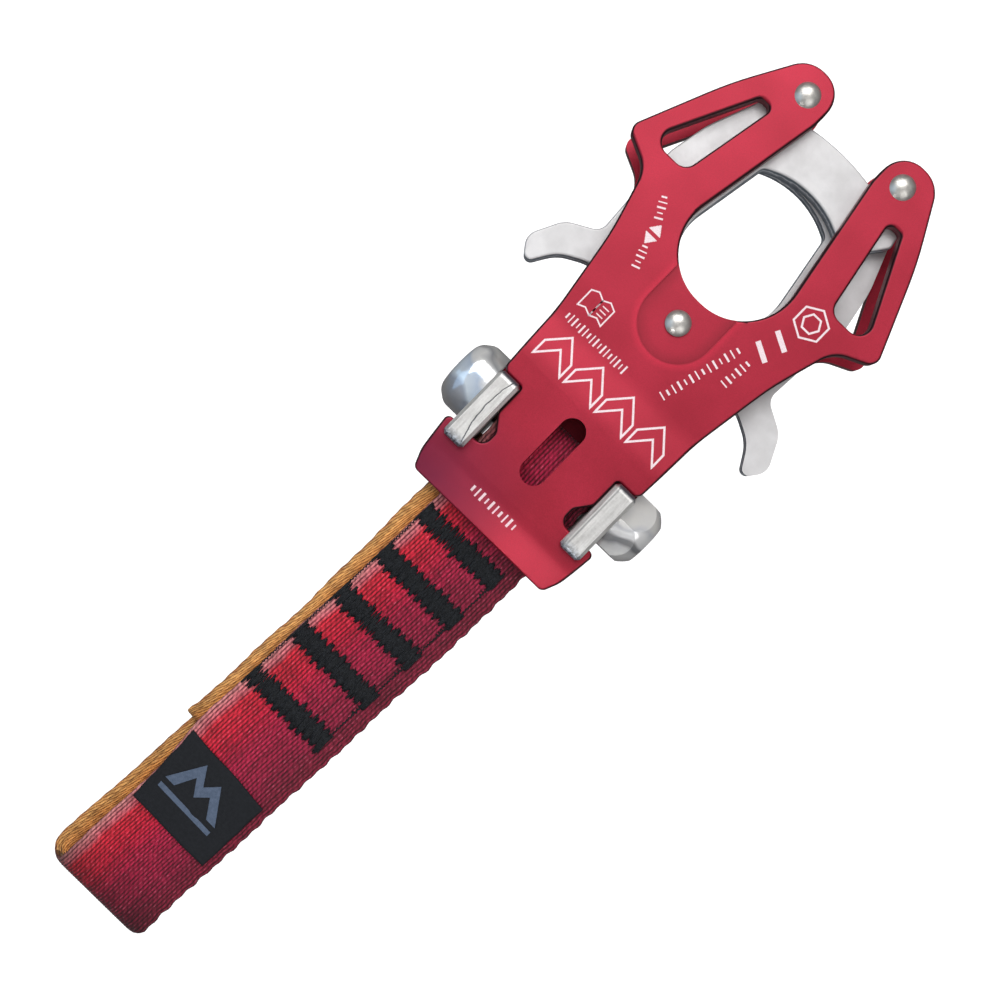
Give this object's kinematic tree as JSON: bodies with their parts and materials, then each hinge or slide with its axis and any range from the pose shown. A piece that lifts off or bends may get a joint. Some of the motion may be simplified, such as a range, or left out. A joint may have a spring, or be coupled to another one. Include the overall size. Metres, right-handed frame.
{
  "type": "self-closing twin-gate anchor connector with sewn sling",
  "caption": "Self-closing fork connector: two riveted side plates, a pair of sprung hook gates across the mouth, and a sewn webbing sling round a cross bolt.",
  "frame": {"origin": "centre of the outline seen from the front, at the level of the ears' back ends, on which the connector lies", "axes": "+Y from the sling to the mouth, +Z out of the front plate, +X to the right seen from the front"},
  "size_m": [0.0712, 0.2324, 0.0234],
  "materials": {
    "red_anodised": "matt red anodised",
    "gate_steel": "satin tumbled",
    "rivet_steel": "satin",
    "spring_steel": "bright drawn",
    "bolt_steel": "polished",
    "ear_steel": "stamped, zinc plated",
    "webbing": "woven polyamide, red face and gold back",
    "thread": "zigzag sewn",
    "label_cloth": "woven"
  },
  "bodies": {
    "frame_body": {"front_plate": "red_anodised", "back_plate": "red_anodised", "pivot_rivet": "rivet_steel", "pivot_bushing": "rivet_steel", "gate_washers": "rivet_steel", "torsion_spring": "spring_steel", "tip_rivets": "rivet_steel", "tip_spacers": "rivet_steel", "sling_bolt": "bolt_steel", "cap_nut": "bolt_steel", "left_ear": "ear_steel", "right_ear": "ear_steel", "sling_wrap": "webbing"},
    "left_gate_body": {"left_gate": "gate_steel"},
    "right_gate_body": {"right_gate": "gate_steel"},
    "sling_body": {"front_strand": "webbing", "back_strand": "webbing", "overlap_strand": "webbing", "bar_tacks": "thread", "side_stitching": "thread", "label": "label_cloth"}
  },
  "joints": [
    {"name": "left_gate_pivot", "type": "hinge", "parent": "frame_body", "child": "left_gate_body", "pos_m": [0, 0.05755, 0.0117], "axis": [0, 0, 1], "range_deg": [0, 36], "stiffness_Nm_per_rad": 0.06, "springref_deg": -45.84, "deforming": ["torsion_spring"]},
    {"name": "right_gate_pivot", "type": "hinge", "parent": "frame_body", "child": "right_gate_body", "pos_m": [0, 0.05755, 0.0117], "axis": [0, 0, -1], "range_deg": [0, 36], "stiffness_Nm_per_rad": 0.06, "springref_deg": -45.84, "deforming": ["torsion_spring"]},
    {"name": "sling_flex", "type": "hinge", "parent": "frame_body", "child": "sling_body", "pos_m": [0, -0.00385, 0.0117], "axis": [1, 0, 0], "range_deg": [-45, 45], "stiffness_Nm_per_rad": 0.02}
  ]
}
